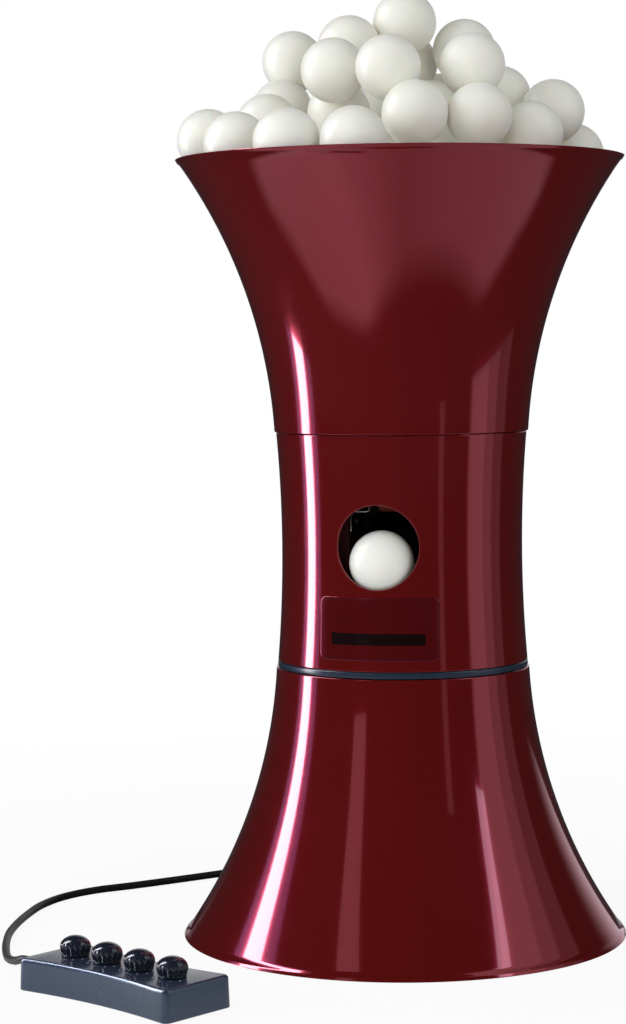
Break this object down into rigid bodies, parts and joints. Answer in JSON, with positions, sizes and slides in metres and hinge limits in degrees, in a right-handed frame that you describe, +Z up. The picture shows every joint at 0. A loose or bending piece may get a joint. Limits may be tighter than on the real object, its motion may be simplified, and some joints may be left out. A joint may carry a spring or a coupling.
{
  "type": "table tennis robot",
  "caption": "Flared gloss red table tennis robot with a heaped ball hopper on a waisted throwing housing that pans on a flared base, with a four-knob wired remote.",
  "frame": {"origin": "on the robot's vertical axis, at the level of the surface that it stands on", "axes": "+Z up along the robot's axis, -Y the way the balls are thrown, +X to the left of someone standing at the outlet and looking out"},
  "size_m": [0.3929, 0.4786, 0.5955],
  "materials": {
    "gloss_red": "polished, deep crimson",
    "ring_blue": "polished, dark blue-grey",
    "label_red": "printed panel",
    "black_inner": "moulded, fine grain",
    "remote_black": "moulded, semi-gloss",
    "knob_black": "gloss",
    "frame_dark": "painted sheet",
    "tread_rubber": "matt",
    "bright_steel": "bright",
    "motor_steel": "plated can",
    "nylon": "moulded",
    "circuit": "laminate with parts",
    "ball_white": "fine matt",
    "cord_black": "satin jacket"
  },
  "bodies": {
    "base": {"base_shell": "gloss_red", "base_plate": "black_inner", "control_board": "circuit", "base_deck": "black_inner", "bearing_ring": "ring_blue", "pan_pivot": "bright_steel", "pan_motor": "motor_steel", "cord_gland": "black_inner", "power_inlet": "black_inner", "remote_case_bottom": "remote_black", "remote_case_top": "remote_black", "remote_board": "circuit", "remote_strain_relief": "black_inner", "remote_cord_lead": "cord_black", "remote_cord_coil": "cord_black", "remote_cord": "cord_black", "cord_tie": "cord_black"},
    "turret": {"turret_floor": "black_inner", "pan_gear": "nylon", "centre_housing": "gloss_red", "label_panel": "label_red", "head_plate_left": "frame_dark", "head_plate_right": "frame_dark", "throat_plate": "frame_dark", "guide_bracket": "bright_steel", "guide_screw": "bright_steel", "top_motor": "motor_steel", "bottom_motor": "motor_steel", "ball_tube": "black_inner", "feed_floor": "black_inner", "feed_motor": "motor_steel", "hopper_shell": "gloss_red"},
    "pan_pinion": {"pan_pinion": "nylon"},
    "top_wheel": {"top_wheel_hub": "nylon", "top_wheel_tread": "tread_rubber"},
    "bottom_wheel": {"bottom_wheel_hub": "nylon", "bottom_wheel_tread": "tread_rubber"},
    "feed_rotor": {"feed_disc": "black_inner", "feed_shaft": "bright_steel", "feed_cap": "black_inner"},
    "ball_load": {"ball_bed": "ball_white", "ball_01": "ball_white", "ball_02": "ball_white", "ball_03": "ball_white", "ball_04": "ball_white", "ball_05": "ball_white", "ball_06": "ball_white", "ball_07": "ball_white", "ball_08": "ball_white", "ball_09": "ball_white", "ball_10": "ball_white", "ball_11": "ball_white", "ball_12": "ball_white", "ball_13": "ball_white", "ball_14": "ball_white"},
    "outlet_ball": {"outlet_ball": "ball_white"},
    "knob_1": {"knob_1": "knob_black"},
    "knob_2": {"knob_2": "knob_black"},
    "knob_3": {"knob_3": "knob_black"},
    "knob_4": {"knob_4": "knob_black"}
  },
  "joints": [
    {"name": "pan", "type": "hinge", "parent": "base", "child": "turret", "pos_m": [0, 0, 0.175], "axis": [0, 0, 1], "range_deg": [-30, 30]},
    {"name": "pan_pinion_spin", "type": "hinge", "parent": "base", "child": "pan_pinion", "pos_m": [0, 0.04688, 0.164], "axis": [0, 0, 1], "range_deg": [-125, 125]},
    {"name": "top_wheel_spin", "type": "hinge", "parent": "turret", "child": "top_wheel", "pos_m": [0, -0.03, 0.2944], "axis": [1, 0, 0], "continuous": true},
    {"name": "bottom_wheel_spin", "type": "hinge", "parent": "turret", "child": "bottom_wheel", "pos_m": [0, -0.03, 0.2064], "axis": [1, 0, 0], "continuous": true},
    {"name": "feed_spin", "type": "hinge", "parent": "turret", "child": "feed_rotor", "pos_m": [0, 0, 0.3523], "axis": [0, 0, 1], "continuous": true},
    {"name": "ball_load_lift", "type": "slide", "parent": "turret", "child": "ball_load", "axis": [0, 0, 1], "range_m": [0, 0.25]},
    {"name": "outlet_ball_out", "type": "slide", "parent": "turret", "child": "outlet_ball", "axis": [0, -0.8192, 0.5736], "range_m": [0, 0.06]},
    {"name": "knob_1_turn", "type": "hinge", "parent": "base", "child": "knob_1", "pos_m": [-0.15793, -0.1852, 0.0191], "axis": [0, 0, 1], "range_deg": [-150, 150]},
    {"name": "knob_2_turn", "type": "hinge", "parent": "base", "child": "knob_2", "pos_m": [-0.13437, -0.1982, 0.0191], "axis": [0, 0, 1], "range_deg": [-150, 150]},
    {"name": "knob_3_turn", "type": "hinge", "parent": "base", "child": "knob_3", "pos_m": [-0.11083, -0.2112, 0.0191], "axis": [0, 0, 1], "range_deg": [-150, 150]},
    {"name": "knob_4_turn", "type": "hinge", "parent": "base", "child": "knob_4", "pos_m": [-0.08728, -0.2242, 0.0191], "axis": [0, 0, 1], "range_deg": [-150, 150]}
  ],
  "couplings": [
    {"joint": "pan_pinion_spin", "follows": "pan", "ratio": -4}
  ]
}
